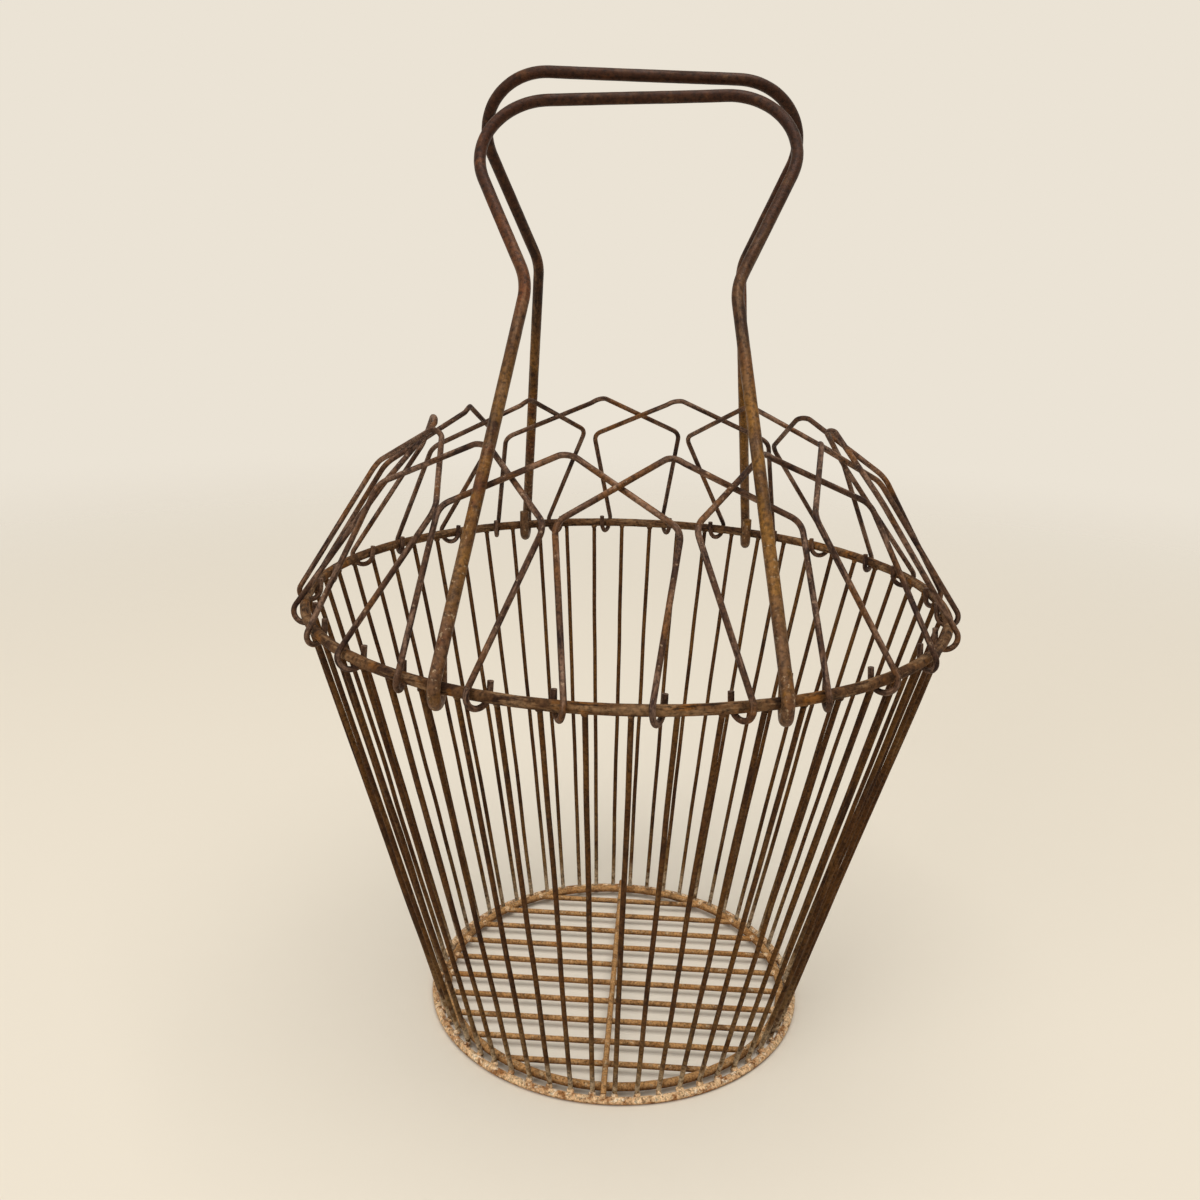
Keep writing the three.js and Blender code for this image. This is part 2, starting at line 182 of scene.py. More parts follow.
def rusted_wire(name, ground, layers, roughness, metallic, specular, pit, pit_depth, scale_depth):
    """Steel wire under rust: a ground colour, layers of patches over it, flakes of scale and pits.

    A layer has a colour, a patch size, the noise values from which it sets in and is full (edge), and
    its greatest share. It can run in streaks along the wire. It can be kept to heights (band) or to
    faces that look up or down (facing), each from where it sets in to where it is full. Real pits are
    finer than these, which are as coarse as they need to be to show.
    """
    material = bpy.data.materials.new(name)
    material.use_nodes = True
    tree = material.node_tree
    tree.nodes.clear()
    place = add(tree, "ShaderNodeTexCoord")
    lay = add(tree, "ShaderNodeAttribute", attribute_name="lay")
    along = add(tree, "ShaderNodeMapping", {
        "Vector": lay.outputs["Vector"], "Scale": (STREAK_STRETCH, 1.0, 1.0)})
    height = add(tree, "ShaderNodeSeparateXYZ", {0: place.outputs["Object"]}).outputs["Z"]
    facing = add(tree, "ShaderNodeSeparateXYZ", {0: place.outputs["Normal"]}).outputs["Z"]
    colour = linear(ground)
    for number, layer in enumerate(layers):
        spot = along.outputs["Vector"] if layer.get("streak") else place.outputs["Object"]
        shift = [step * number for step in LAYER_SHIFT]
        moved = add(tree, "ShaderNodeMapping", {"Vector": spot, "Location": shift})
        patches = add(tree, "ShaderNodeTexNoise", {
            "Vector": moved.outputs["Vector"], "Scale": 1 / (layer["size"] * MM), **PATCH_NOISE})
        start, full = layer["edge"]
        share = add(tree, "ShaderNodeMapRange", {
            "Value": patches.outputs[0], "From Min": start, "From Max": full,
            "To Max": layer.get("share", 1.0)}, interpolation_type="SMOOTHSTEP").outputs[0]
        for limit, measure, unit in (("band", height, MM), ("facing", facing, 1.0)):
            if limit in layer:
                start, full = layer[limit]
                mask = add(tree, "ShaderNodeMapRange", {
                    "Value": measure, "From Min": start * unit, "From Max": full * unit},
                    interpolation_type="SMOOTHSTEP")
                share = add(tree, "ShaderNodeMath", {0: share, 1: mask.outputs[0]},
                            operation="MULTIPLY").outputs[0]
        # Inputs 6 and 7 and output 2 of a Mix node are its colours.
        mixed = add(tree, "ShaderNodeMix", {0: share, 6: colour, 7: linear(layer["colour"])},
                    data_type="RGBA")
        colour = mixed.outputs[2]
    pits = add(tree, "ShaderNodeTexNoise", {
        "Vector": place.outputs["Object"], "Scale": 1 / (pit * MM), **PIT_NOISE})
    flakes = add(tree, "ShaderNodeTexNoise", {
        "Vector": along.outputs["Vector"], "Scale": 1 / (FLAKE_SIZE * MM), **FLAKE_NOISE})
    dark = add(tree, "ShaderNodeMapRange", {"Value": pits.outputs[0], **PIT_SHADE})
    shaded = add(tree, "ShaderNodeVectorMath", {0: colour, 1: dark.outputs[0]}, operation="MULTIPLY")
    smoothest, roughest = roughness
    gloss = add(tree, "ShaderNodeMapRange", {
        "Value": flakes.outputs[0], **FLAKE_GLOSS, "To Min": smoothest, "To Max": roughest})
    scaled = add(tree, "ShaderNodeBump", {
        "Height": flakes.outputs[0], "Distance": scale_depth * MM, "Strength": BUMP_STRENGTH})
    pitted = add(tree, "ShaderNodeBump", {
        "Height": pits.outputs[0], "Distance": pit_depth * MM, "Strength": BUMP_STRENGTH,
        "Normal": scaled.outputs[0]})
    surface = add(tree, "ShaderNodeBsdfPrincipled", {
        "Base Color": shaded.outputs[0], "Roughness": gloss.outputs[0], "Metallic": metallic,
        "Specular IOR Level": specular, "Normal": pitted.outputs[0]})
    add(tree, "ShaderNodeOutputMaterial", {"Surface": surface.outputs[0]})
    return material


# Drawn steel rod worn by hands: dark, slightly glossy oxide at the grip, ochre bloom and grey-brown
# scale down the legs, and pale specks where the scale has broken.
handle_steel = rusted_wire(
    "hand_worn_rusted_steel_rod", "#553720",
    [
        {"colour": "#331f12", "size": 16.0, "edge": (0.44, 0.64)},
        {"colour": "#6e3f20", "size": 30.0, "edge": (0.46, 0.66), "share": 0.9},
        {"colour": "#8a6028", "size": 18.0, "edge": (0.36, 0.58), "share": 0.85, "band": (305.0, 265.0)},
        {"colour": "#694b34", "size": 7.0, "edge": (0.34, 0.56), "share": 0.85, "band": (240.0, 205.0)},
        {"colour": "#785a3e", "size": 2.6, "edge": (0.50, 0.64), "share": 0.5, "streak": True},
        {"colour": "#371d10", "size": 9.0, "edge": (0.26, 0.48), "share": 0.85, "band": (310.0, 350.0)},
        {"colour": "#b49a7a", "size": 1.7, "edge": (0.58, 0.68), "share": 0.75, "band": (285.0, 210.0)},
    ],
    roughness=(0.32, 0.66), metallic=0.25, specular=0.18, pit=1.6, pit_depth=0.22, scale_depth=0.10)

# Drawn spring wire, rusted after bending: brown oxide with dark patches and orange-brown bloom, light
# and dark streaks along the wire, and pale specks kept to its upper side as a painted highlight.
petal_steel = rusted_wire(
    "rusted_drawn_spring_wire", "#5a3f2d",
    [
        {"colour": "#34211a", "size": 11.0, "edge": (0.42, 0.62)},
        {"colour": "#84562a", "size": 26.0, "edge": (0.50, 0.68), "share": 0.7},
        {"colour": "#8f705b", "size": 1.8, "edge": (0.46, 0.64), "share": 0.7, "streak": True},
        {"colour": "#281912", "size": 1.5, "edge": (0.57, 0.67), "share": 0.65, "streak": True},
        # Painted highlight: pale specks only on the faces that look up, where light falls from above.
        {"colour": "#b89c80", "size": 1.6, "edge": (0.60, 0.70), "share": 0.7, "facing": (-0.2, 0.7)},
    ],
    roughness=(0.42, 0.80), metallic=0.15, specular=0.15, pit=1.3, pit_depth=0.16, scale_depth=0.09)

# Drawn rod flaking under old rust: matt brown scale that splits along the wire, with ochre patches.
rim_steel = rusted_wire(
    "flaking_rusted_steel_rod", "#66472c",
    [
        {"colour": "#402a1b", "size": 15.0, "edge": (0.44, 0.62)},
        {"colour": "#8c5a26", "size": 16.0, "edge": (0.53, 0.68), "share": 0.85},
        {"colour": "#8c6c4c", "size": 2.6, "edge": (0.48, 0.62), "share": 0.8, "streak": True},
        {"colour": "#28180e", "size": 2.0, "edge": (0.56, 0.65), "share": 0.85, "streak": True},
    ],
    roughness=(0.62, 0.94), metallic=0.05, specular=0.10, pit=1.8, pit_depth=0.30, scale_depth=0.24)

# Thin drawn wire with a closed coat of rust: matt dark brown to ochre, paler and crusted near the feet.
upright_steel = rusted_wire(
    "rusted_thin_drawn_wire", "#57371b",
    [
        {"colour": "#3c2413", "size": 20.0, "edge": (0.38, 0.66)},
        {"colour": "#6c481f", "size": 36.0, "edge": (0.42, 0.70), "share": 0.8},
        {"colour": "#7f6242", "size": 1.6, "edge": (0.54, 0.70), "share": 0.5, "streak": True},
        {"colour": "#8f7048", "size": 9.0, "edge": (0.36, 0.60), "share": 0.7, "band": (60.0, 6.0)},
        {"colour": "#cbb595", "size": 3.0, "edge": (0.36, 0.56), "share": 0.9, "band": (20.0, 3.0)},
    ],
    roughness=(0.58, 0.90), metallic=0.05, specular=0.10, pit=1.2, pit_depth=0.14, scale_depth=0.08)

# Rod that stood in the wet: a dull cream crust of lime and dust, broken by rust patches and dark specks,
# with painted shade in brown on its underside.
base_steel = rusted_wire(
    "lime_crusted_rusted_steel", "#d2a374",
    [
        # Painted shade: brown on the faces that look down.
        {"colour": "#7c5434", "size": 6.0, "edge": (0.34, 0.56), "share": 0.85, "facing": (0.2, -0.7)},
        {"colour": "#f2cd9f", "size": 5.0, "edge": (0.36, 0.58), "share": 0.95, "facing": (-0.7, 0.3)},
        {"colour": "#98602f", "size": 4.0, "edge": (0.50, 0.62), "share": 0.85},
        {"colour": "#fdebce", "size": 2.6, "edge": (0.53, 0.65), "share": 0.75, "facing": (-0.5, 0.4)},
        {"colour": "#55331f", "size": 1.8, "edge": (0.59, 0.68), "share": 0.85},
    ],
    roughness=(0.80, 0.97), metallic=0.0, specular=0.10, pit=0.9, pit_depth=0.22, scale_depth=0.14)

# Wire of the same bottom, less crusted: tan dust and painted light from above on top, brown rust below.
floor_steel = rusted_wire(
    "rusted_wire_with_dust_and_painted_light", "#936a41",
    [
        {"colour": "#563d2a", "size": 9.0, "edge": (0.46, 0.64), "share": 0.8},
        # Dust with painted light from above: paler tan on the faces that look up.
        {"colour": "#c2935f", "size": 7.0, "edge": (0.30, 0.56), "share": 0.95, "facing": (-0.2, 0.75)},
        {"colour": "#a5703c", "size": 12.0, "edge": (0.54, 0.70), "share": 0.7},
        # Dust with painted light from above: pale specks on the faces that look up.
        {"colour": "#d2b892", "size": 2.2, "edge": (0.54, 0.68), "share": 0.7, "facing": (0.0, 0.8)},
        {"colour": "#4a3526", "size": 1.4, "edge": (0.61, 0.70), "share": 0.7},
    ],
    roughness=(0.78, 0.96), metallic=0.0, specular=0.10, pit=0.8, pit_depth=0.18, scale_depth=0.12)


# Trees that lay wire
FLOAT = "NodeSocketFloat"
INT = "NodeSocketInt"
GEOMETRY = "NodeSocketGeometry"
MATERIAL = "NodeSocketMaterial"
WIRE_INPUTS = {
    "Wire": FLOAT, "Sides": INT, "Station": FLOAT, "Bow": FLOAT, "Scale": FLOAT, "Seed": FLOAT,
    "Finish": MATERIAL,
}
# Metres of noise between one wire and the next, so that no two are alike
SEED_STEP = 0.731
NOISE_MIDDLE = 0.5
BOW_LENGTH = 60.0
BOW_DETAIL = 1.0
SCALE_SIZE = 2.6
SCALE_DETAIL = 3.0
SCALE_STRETCH = 0.4
# A face with at least this many corners is the cut end of a wire
CAP_CORNERS = 5
HOOP_CORNERS = 224


def new_tree(name, inputs):
    """An empty tree with named inputs and one geometry output."""
    tree = bpy.data.node_groups.new(name, "GeometryNodeTree")
    for label, kind in inputs.items():
        tree.interface.new_socket(label, in_out="INPUT", socket_type=kind)
    tree.interface.new_socket("Geometry", in_out="OUTPUT", socket_type=GEOMETRY)
    return tree, add(tree, "NodeGroupInput").outputs


def round_wire_tree():
    """Round wire along every curve: slightly bowed, rough with scale, with flat cut ends.

    The mesh keeps the attribute lay, which the streaks of a finish follow: the length along the wire
    and the place in its section.
    """
    tree, size = new_tree("round_wire", {"Curve": GEOMETRY, **WIRE_INPUTS})
    stations = add(tree, "GeometryNodeResampleCurve", {
        "Curve": size["Curve"], "Length": size["Station"]}, mode="LENGTH")
    way = add(tree, "GeometryNodeSplineParameter")
    number = add(tree, "GeometryNodeCurveOfPoint")
    start = add(tree, "ShaderNodeMath", {
        0: number.outputs["Curve Index"], 1: size["Seed"]}, operation="ADD")
    spread = add(tree, "ShaderNodeMath", {0: start.outputs[0], 1: SEED_STEP}, operation="MULTIPLY")
    reach = add(tree, "ShaderNodeMath", {
        0: way.outputs["Length"], 1: spread.outputs[0]}, operation="ADD")
    marked = add(tree, "GeometryNodeStoreNamedAttribute", {
        "Geometry": stations.outputs[0], "Name": "along", "Value": reach.outputs[0]},
        data_type="FLOAT", domain="POINT")

    # The bow is nothing at the ends and most in the middle.
    here = add(tree, "GeometryNodeInputPosition")
    drift = add(tree, "ShaderNodeTexNoise", {
        "Vector": here.outputs[0], "W": spread.outputs[0], "Scale": 1 / (BOW_LENGTH * MM),
        "Detail": BOW_DETAIL}, noise_dimensions="4D")
    centred = add(tree, "ShaderNodeVectorMath", {
        0: drift.outputs["Color"], 1: (NOISE_MIDDLE,) * 3}, operation="SUBTRACT")
    turn = add(tree, "ShaderNodeMath", {0: way.outputs["Factor"], 1: math.pi}, operation="MULTIPLY")
    pinned = add(tree, "ShaderNodeMath", {0: turn.outputs[0]}, operation="SINE")
    amount = add(tree, "ShaderNodeMath", {0: pinned.outputs[0], 1: size["Bow"]}, operation="MULTIPLY")
    offset = add(tree, "ShaderNodeVectorMath", {
        0: centred.outputs[0], 3: amount.outputs[0]}, operation="SCALE")
    bowed = add(tree, "GeometryNodeSetPosition", {
        "Geometry": marked.outputs[0], "Offset": offset.outputs[0]})

    radius = add(tree, "ShaderNodeMath", {0: size["Wire"], 1: 0.5}, operation="MULTIPLY")
    circle = add(tree, "GeometryNodeCurvePrimitiveCircle", {
        "Resolution": size["Sides"], "Radius": radius.outputs[0]})
    section = add(tree, "GeometryNodeStoreNamedAttribute", {
        "Geometry": circle.outputs[0], "Name": "across", "Value": here.outputs[0]},
        data_type="FLOAT_VECTOR", domain="POINT")
    tube = add(tree, "GeometryNodeCurveToMesh", {
        "Curve": bowed.outputs[0], "Profile Curve": section.outputs[0], "Fill Caps": True})
    along = add(tree, "GeometryNodeInputNamedAttribute", {"Name": "along"}, data_type="FLOAT")
    across = add(tree, "GeometryNodeInputNamedAttribute", {"Name": "across"}, data_type="FLOAT_VECTOR")
    sides = add(tree, "ShaderNodeSeparateXYZ", {0: across.outputs[0]})
    lay = add(tree, "ShaderNodeCombineXYZ", {
        0: along.outputs[0], 1: sides.outputs["X"], 2: sides.outputs["Y"]})
    laid = add(tree, "GeometryNodeStoreNamedAttribute", {
        "Geometry": tube.outputs[0], "Name": "lay", "Value": lay.outputs[0]},
        data_type="FLOAT_VECTOR", domain="POINT")

    # Scale stands out of the surface and is drawn out along the wire.
    grain = add(tree, "ShaderNodeVectorMath", {
        0: lay.outputs[0], 1: (SCALE_STRETCH, 1.0, 1.0)}, operation="MULTIPLY")
    rough = add(tree, "ShaderNodeTexNoise", {
        "Vector": grain.outputs[0], "Scale": 1 / (SCALE_SIZE * MM), "Detail": SCALE_DETAIL},
        noise_dimensions="3D")
    level = add(tree, "ShaderNodeMath", {0: rough.outputs[0], 1: NOISE_MIDDLE}, operation="SUBTRACT")
    depth = add(tree, "ShaderNodeMath", {0: level.outputs[0], 1: size["Scale"]}, operation="MULTIPLY")
    outward = add(tree, "GeometryNodeInputNormal")
    bumps = add(tree, "ShaderNodeVectorMath", {
        0: outward.outputs[0], 3: depth.outputs[0]}, operation="SCALE")
    scaled = add(tree, "GeometryNodeSetPosition", {
        "Geometry": laid.outputs[0], "Offset": bumps.outputs[0]})

    # The wall is shaded smooth and the cut ends stay flat.
    corners = add(tree, "GeometryNodeInputMeshFaceNeighbors")
    tube_wall = add(tree, "FunctionNodeCompare", {
        2: corners.outputs["Vertex Count"], 3: CAP_CORNERS}, data_type="INT", operation="LESS_THAN")
    smooth = add(tree, "GeometryNodeSetShadeSmooth", {
        "Geometry": scaled.outputs[0], "Shade Smooth": tube_wall.outputs[0]}, domain="FACE")
    solid = add(tree, "GeometryNodeRealizeInstances", {0: smooth.outputs[0]})
    finished = add(tree, "GeometryNodeSetMaterial", {
        "Geometry": solid.outputs[0], "Material": size["Finish"]})
    add(tree, "NodeGroupOutput", {0: finished.outputs[0]})
    return tree


round_wire = round_wire_tree()


def wire_on(tree, curve, size):
    """The end of a tree: round wire on its curves, from the tree's own wire inputs."""
    feeds = {"Curve": curve, **{label: size[label] for label in WIRE_INPUTS}}
    laid = add(tree, "GeometryNodeGroup", feeds, node_tree=round_wire)
    add(tree, "NodeGroupOutput", {0: laid.outputs[0]})
    return tree


def path_tree():
    """Wire along the edges of the object itself."""
    tree, size = new_tree("wire_along_path", {"Geometry": GEOMETRY, **WIRE_INPUTS})
    curve = add(tree, "GeometryNodeMeshToCurve", {"Mesh": size["Geometry"]})
    return wire_on(tree, curve.outputs[0], size)


def hoop_tree():
    """A hoop of wire, with its joint at the back."""
    tree, size = new_tree("wire_hoop", {"Radius": FLOAT, "Height": FLOAT, **WIRE_INPUTS})
    circle = add(tree, "GeometryNodeCurvePrimitiveCircle", {
        "Resolution": HOOP_CORNERS, "Radius": size["Radius"]})
    lift = add(tree, "ShaderNodeCombineXYZ", {2: size["Height"]})
    placed = add(tree, "GeometryNodeTransform", {
        "Geometry": circle.outputs[0], "Translation": lift.outputs[0],
        "Rotation": (0.0, 0.0, math.pi / 2)})
    return wire_on(tree, placed.outputs[0], size)


def upright_tree():
    """Straight wires from foot to top, repeated round the basket, the first half a pitch from the front."""
    tree, size = new_tree("ring_of_uprights", {
        "Count": INT, "Foot radius": FLOAT, "Foot height": FLOAT, "Top radius": FLOAT, "Top height": FLOAT,
        **WIRE_INPUTS})
    foot_out = add(tree, "ShaderNodeMath", {0: size["Foot radius"], 1: -1.0}, operation="MULTIPLY")
    top_out = add(tree, "ShaderNodeMath", {0: size["Top radius"], 1: -1.0}, operation="MULTIPLY")
    foot = add(tree, "ShaderNodeCombineXYZ", {1: foot_out.outputs[0], 2: size["Foot height"]})
    top = add(tree, "ShaderNodeCombineXYZ", {1: top_out.outputs[0], 2: size["Top height"]})
    line = add(tree, "GeometryNodeCurvePrimitiveLine", {"Start": foot.outputs[0], "End": top.outputs[0]})
    points = add(tree, "GeometryNodePoints", {"Count": size["Count"]})
    index = add(tree, "GeometryNodeInputIndex")
    half = add(tree, "ShaderNodeMath", {0: index.outputs[0], 1: 0.5}, operation="ADD")
    share = add(tree, "ShaderNodeMath", {0: half.outputs[0], 1: size["Count"]}, operation="DIVIDE")
    angle = add(tree, "ShaderNodeMath", {0: share.outputs[0], 1: math.tau}, operation="MULTIPLY")
    turn = add(tree, "ShaderNodeCombineXYZ", {2: angle.outputs[0]})
    ring = add(tree, "GeometryNodeInstanceOnPoints", {
        "Points": points.outputs[0], "Instance": line.outputs[0], "Rotation": turn.outputs[0]})
    curves = add(tree, "GeometryNodeRealizeInstances", {0: ring.outputs[0]})
    return wire_on(tree, curves.outputs[0], size)


def floor_tree():
    """Parallel wires that fill a ring, each as long as the ring is wide there."""
    tree, size = new_tree("rows_in_a_ring", {
        "Count": INT, "Spacing": FLOAT, "Ring radius": FLOAT, "Height": FLOAT, **WIRE_INPUTS})
    index = add(tree, "GeometryNodeInputIndex")
    last = add(tree, "ShaderNodeMath", {0: size["Count"], 1: 1.0}, operation="SUBTRACT")
    middle = add(tree, "ShaderNodeMath", {0: last.outputs[0], 1: 0.5}, operation="MULTIPLY")
    place = add(tree, "ShaderNodeMath", {0: index.outputs[0], 1: middle.outputs[0]}, operation="SUBTRACT")
    row = add(tree, "ShaderNodeMath", {0: place.outputs[0], 1: size["Spacing"]}, operation="MULTIPLY")
    spot = add(tree, "ShaderNodeCombineXYZ", {1: row.outputs[0], 2: size["Height"]})
    points = add(tree, "GeometryNodePoints", {"Count": size["Count"], "Position": spot.outputs[0]})
    ring_square = add(tree, "ShaderNodeMath", {0: size["Ring radius"], 1: 2.0}, operation="POWER")
    row_square = add(tree, "ShaderNodeMath", {0: row.outputs[0], 1: row.outputs[0]}, operation="MULTIPLY")
    left = add(tree, "ShaderNodeMath", {
        0: ring_square.outputs[0], 1: row_square.outputs[0]}, operation="SUBTRACT")
    half = add(tree, "ShaderNodeMath", {0: left.outputs[0]}, operation="SQRT")
    stretch = add(tree, "ShaderNodeCombineXYZ", {0: half.outputs[0], 1: 1.0, 2: 1.0})
    line = add(tree, "GeometryNodeCurvePrimitiveLine", {"Start": (-1.0, 0.0, 0.0), "End": (1.0, 0.0, 0.0)})
    rows = add(tree, "GeometryNodeInstanceOnPoints", {
        "Points": points.outputs[0], "Instance": line.outputs[0], "Scale": stretch.outputs[0]})
    curves = add(tree, "GeometryNodeRealizeInstances", {0: rows.outputs[0]})
    return wire_on(tree, curves.outputs[0], size)


# Tree that sets welds
WELD_SUBDIVISIONS = 3
WELD_LEAST_STRETCH = (0.75, 0.75, 0.6)
WELD_MOST_STRETCH = (1.2, 1.15, 0.95)
WELD_GRAIN = 1.1
WELD_DETAIL = 2.0


def weld_tree():
    """A lump of weld on each point of the object, no two alike. Its attribute lay is the place itself."""
    tree, size = new_tree("weld_lumps", {
        "Geometry": GEOMETRY, "Lump": FLOAT, "Rough": FLOAT, "Seed": INT, "Finish": MATERIAL})
    points = add(tree, "GeometryNodeMeshToPoints", {"Mesh": size["Geometry"]})
    ball = add(tree, "GeometryNodeMeshIcoSphere", {
        "Radius": size["Lump"], "Subdivisions": WELD_SUBDIVISIONS})
    spin = add(tree, "FunctionNodeRandomValue", {
        0: (0.0, 0.0, 0.0), 1: (math.tau,) * 3, "Seed": size["Seed"]}, data_type="FLOAT_VECTOR")
    swell = add(tree, "FunctionNodeRandomValue", {
        0: WELD_LEAST_STRETCH, 1: WELD_MOST_STRETCH, "Seed": size["Seed"]}, data_type="FLOAT_VECTOR")
    lumps = add(tree, "GeometryNodeInstanceOnPoints", {
        "Points": points.outputs[0], "Instance": ball.outputs["Mesh"], "Rotation": spin.outputs[0],
        "Scale": swell.outputs[0]})
    solid = add(tree, "GeometryNodeRealizeInstances", {0: lumps.outputs[0]})
    here = add(tree, "GeometryNodeInputPosition")
    noise = add(tree, "ShaderNodeTexNoise", {
        "Vector": here.outputs[0], "Scale": 1 / (WELD_GRAIN * MM), "Detail": WELD_DETAIL})
    level = add(tree, "ShaderNodeMath", {0: noise.outputs[0], 1: NOISE_MIDDLE}, operation="SUBTRACT")
    depth = add(tree, "ShaderNodeMath", {0: level.outputs[0], 1: size["Rough"]}, operation="MULTIPLY")
    outward = add(tree, "GeometryNodeInputNormal")
    bumps = add(tree, "ShaderNodeVectorMath", {
        0: outward.outputs[0], 3: depth.outputs[0]}, operation="SCALE")
    rough = add(tree, "GeometryNodeSetPosition", {
        "Geometry": solid.outputs[0], "Offset": bumps.outputs[0]})
    laid = add(tree, "GeometryNodeStoreNamedAttribute", {
        "Geometry": rough.outputs[0], "Name": "lay", "Value": here.outputs[0]},
        data_type="FLOAT_VECTOR", domain="POINT")
    smooth = add(tree, "GeometryNodeSetShadeSmooth", {"Geometry": laid.outputs[0]}, domain="FACE")
    finished = add(tree, "GeometryNodeSetMaterial", {
        "Geometry": smooth.outputs[0], "Material": size["Finish"]})
    add(tree, "NodeGroupOutput", {0: finished.outputs[0]})
    return tree


# Pieces from trees
def path_mesh(name, points, joined=True):
    """Points in millimetres as a mesh, joined one after another or left loose."""
    edges = [(i, i + 1) for i in range(len(points) - 1)] if joined else []
    mesh = bpy.data.meshes.new(name)
    mesh.from_pydata([Vector(p) * MM for p in points], edges, [])
    return mesh


def make_piece(name, tree, sizes, body, stands_for=(), path=None):
    """Runs a tree with these sizes, keeps the result as a plain mesh, and sets it on its body."""
    piece = bpy.data.objects.new(name, path or bpy.data.meshes.new(name))
    bpy.context.scene.collection.objects.link(piece)
    maker = piece.modifiers.new("wire", "NODES")
    maker.node_group = tree
    for item in tree.interface.items_tree:
        if item.in_out == "INPUT" and item.name in sizes:
            maker[item.identifier] = sizes[item.name]
    shown = piece.evaluated_get(bpy.context.evaluated_depsgraph_get())
    mesh = bpy.data.meshes.new_from_object(shown)
    piece.modifiers.clear()
    piece.data = mesh
    mesh.name = name
    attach(piece, body)
    if stands_for:
        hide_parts(*stands_for)


def wire_sizes(diameter, finish, sides, station, bow, scale, seed=0.0):
    """The wire inputs of a tree, from millimetres."""
    return {
        "Wire": diameter * MM,
        "Sides": sides,
        "Station": station * MM,
        "Bow": bow * MM,
        "Scale": scale * MM,
        "Seed": float(seed),
        "Finish": finish,
    }


# Centre lines of the loops. A loop's own frame: X along the hinge, Z up the loop, -Y out of the basket.
def rounded_corner(before, corner, after, radius, steps):
    """Points round one corner of a flat outline."""
    to_before = (before - corner).normalized()
    to_after = (after - corner).normalized()
    half_angle = to_before.angle(to_after) / 2
    middle = (to_before + to_after).normalized()
    centre = corner + middle * (radius / math.sin(half_angle))
    start = corner + to_before * (radius / math.tan(half_angle)) - centre
    side = to_after.x * to_before.y - to_after.y * to_before.x
    sweep = math.copysign(math.pi - 2 * half_angle, side)
    return [centre + Matrix.Rotation(sweep * step / steps, 2) @ start for step in range(steps + 1)]


def hook_radius(wire_size, hook_angle, gap):
    """A hook's radius to its wire's axis, so that it clears the rim, which it crosses at an angle."""
    rim_half_width = RIM_WIRE / 2 / math.cos(hook_angle)
    return rim_half_width + wire_size / 2 * math.tan(hook_angle) + wire_size / 2 + gap


def hook_points(foot, radius, tail, splay):
    """From the tail inside the rim, under the rim, to the foot of the leg outside it."""
    splayed = foot + math.copysign(splay, foot)
    points = []
    for step in range(HOOK_STEPS + 1):
        share = step / HOOK_STEPS
        turn = -HOOK_CLOSING + (math.pi + HOOK_CLOSING) * share
        across = splayed + (foot - splayed) * share
        points.append(Vector((across, radius * math.cos(turn), -radius * math.sin(turn))))
    tail_run = Vector((0.0, -tail * math.sin(HOOK_CLOSING), tail * math.cos(HOOK_CLOSING)))
    return [points[0] + tail_run, *points]


def loop_points(outline, laps, foot, radius, tail, splay):
    """A flat outline with a hook at each foot. laps is how far each of its points stands out."""
    loop = [Vector((p.x, -radius - lap, p.y)) for p, lap in zip(outline, laps)]
    left = hook_points(-foot, radius, tail, splay)
    right = hook_points(foot, radius, tail, splay)[::-1]
    return [*left, *loop, *right]


def petal_points():
    """A petal: five-sided, one half out and the other in, so that it goes over and under its neighbours."""
    foot = RIM_RADIUS * math.sin(PETAL_HOOK_ANGLE)
    radius = hook_radius(PETAL_WIRE, PETAL_HOOK_ANGLE, PETAL_HOOK_GAP)
    left_foot, right_foot = Vector((-foot, 0.0)), Vector((foot, 0.0))
    left = Vector((-PETAL_SHOULDER_HALF_WIDTH, PETAL_SHOULDER_HEIGHT))
    right = Vector((PETAL_SHOULDER_HALF_WIDTH, PETAL_SHOULDER_HEIGHT))
    peak = Vector((0.0, PETAL_SHOULDER_HEIGHT + PETAL_GABLE))
    peak_bend = rounded_corner(left, peak, right, PETAL_BEND_RADIUS, PETAL_BEND_STEPS)
    outline = [
        *rounded_corner(left_foot, left, peak, PETAL_BEND_RADIUS, PETAL_BEND_STEPS),
        *peak_bend,
        *rounded_corner(peak, right, right_foot, PETAL_BEND_RADIUS, PETAL_BEND_STEPS),
    ]
    changeover = abs(peak_bend[0].x)
    laps = [-PETAL_LAP * max(-1.0, min(1.0, p.x / changeover)) for p in outline]
    return loop_points(outline, laps, foot, radius, PETAL_TAIL, PETAL_TAIL_SPLAY)


def handle_points(neck_half_width, skew):
    """A bail: legs that close in to a neck, and a wide grip with one shoulder higher than the other."""
    foot = RIM_RADIUS * math.sin(HANDLE_HOOK_ANGLE)
    radius = hook_radius(HANDLE_WIRE, HANDLE_HOOK_ANGLE, HANDLE_HOOK_GAP)
    left_foot, right_foot = Vector((-foot, 0.0)), Vector((foot, 0.0))
    left_neck = Vector((-neck_half_width, HANDLE_NECK_HEIGHT))
    right_neck = Vector((neck_half_width, HANDLE_NECK_HEIGHT))
    left_top = Vector((-HANDLE_TOP_HALF_WIDTH, HANDLE_LENGTH - skew / 2))
    right_top = Vector((HANDLE_TOP_HALF_WIDTH, HANDLE_LENGTH + skew / 2))
    outline = [
        *rounded_corner(left_foot, left_neck, left_top, HANDLE_NECK_RADIUS, HANDLE_NECK_STEPS),
        *rounded_corner(left_neck, left_top, right_top, HANDLE_GRIP_RADIUS, HANDLE_GRIP_STEPS),
        *rounded_corner(left_top, right_top, right_neck, HANDLE_GRIP_RADIUS, HANDLE_GRIP_STEPS),
        *rounded_corner(right_top, right_neck, right_foot, HANDLE_NECK_RADIUS, HANDLE_NECK_STEPS),
    ]
    return loop_points(outline, [0.0] * len(outline), foot, radius, HANDLE_TAIL, 0.0)


